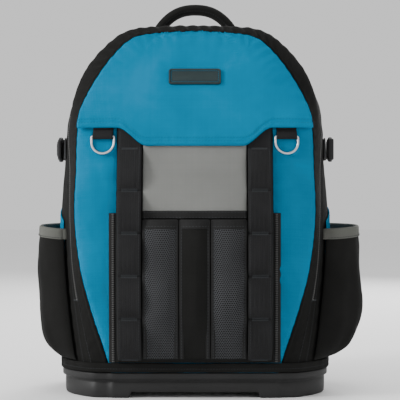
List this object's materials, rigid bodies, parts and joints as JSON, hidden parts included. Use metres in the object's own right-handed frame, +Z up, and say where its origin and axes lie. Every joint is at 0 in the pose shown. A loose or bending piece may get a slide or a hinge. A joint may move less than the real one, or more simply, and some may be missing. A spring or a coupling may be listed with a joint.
{
  "type": "tool backpack",
  "caption": "Tool backpack with an arched zip body on a moulded base, padded straps, side pockets, a front tool pocket with loops and swinging D-rings.",
  "frame": {"origin": "centre of the bounding box at the floor under the base", "axes": "+Z up, front of the bag towards -Y, wearer side towards +Y, +X to the right seen from the front"},
  "size_m": [0.3945, 0.2819, 0.4816],
  "materials": {
    "base_plastic": "fine grain",
    "fabric_black": "coated oxford weave",
    "fabric_blue": "coated oxford weave",
    "fabric_grey": "coated oxford weave",
    "mesh_grey": "open mesh",
    "webbing_black": "ribbed webbing",
    "zip_tape": "woven tape with moulded coil",
    "strap_mesh": "spacer mesh",
    "label_rubber": "moulded",
    "buckle_plastic": "smooth",
    "ring_steel": "nickel plated"
  },
  "bodies": {
    "root": {"base_tray": "base_plastic", "base_floor": "base_plastic", "hem_band": "fabric_black", "front_panel": "fabric_blue", "upper_panel": "fabric_blue", "gusset_front": "fabric_black", "zip_main": "zip_tape", "gusset_rear": "fabric_black", "back_panel": "fabric_black", "pocket_front": "fabric_black", "pocket_grey_panel": "fabric_grey", "pocket_binding": "webbing_black", "net_pocket_left": "mesh_grey", "net_pocket_right": "mesh_grey", "sleeve_middle": "fabric_black", "label_patch": "label_rubber", "back_pad_left": "strap_mesh", "back_pad_right": "strap_mesh", "back_pad_lumbar": "strap_mesh", "strap_yoke": "fabric_black", "carry_handle": "fabric_black", "base_foot_left": "base_plastic", "base_foot_right": "base_plastic", "tool_loops_left": "webbing_black", "tool_loops_right": "webbing_black", "side_pocket_left": "fabric_black", "side_pocket_right": "fabric_black", "pocket_rim_left": "fabric_grey", "pocket_rim_right": "fabric_grey", "side_patch_left": "fabric_blue", "side_patch_right": "fabric_blue", "side_strap_left": "webbing_black", "side_strap_right": "webbing_black", "side_buckle_left": "buckle_plastic", "side_buckle_right": "buckle_plastic", "ring_tab_left": "webbing_black", "ring_tab_right": "webbing_black", "shoulder_strap_left": "strap_mesh", "shoulder_strap_right": "strap_mesh", "ladder_lock_left": "buckle_plastic", "ladder_lock_right": "buckle_plastic", "strap_web_left": "webbing_black", "strap_web_right": "webbing_black", "zip_slider_left": "ring_steel", "zip_slider_right": "ring_steel", "zip_pull_left": "fabric_blue", "zip_pull_right": "fabric_blue"},
    "d_ring_left": {"d_ring_left": "ring_steel"},
    "d_ring_right": {"d_ring_right": "ring_steel"}
  },
  "joints": [
    {"name": "d_ring_left_swing", "type": "hinge", "parent": "root", "child": "d_ring_left", "pos_m": [-0.1125, -0.10486, 0.3025], "axis": [-0.994, 0.1091, 0], "range_deg": [0, 120]},
    {"name": "d_ring_right_swing", "type": "hinge", "parent": "root", "child": "d_ring_right", "pos_m": [0.0995, -0.10486, 0.3025], "axis": [-0.994, -0.1091, 0], "range_deg": [0, 120]}
  ]
}
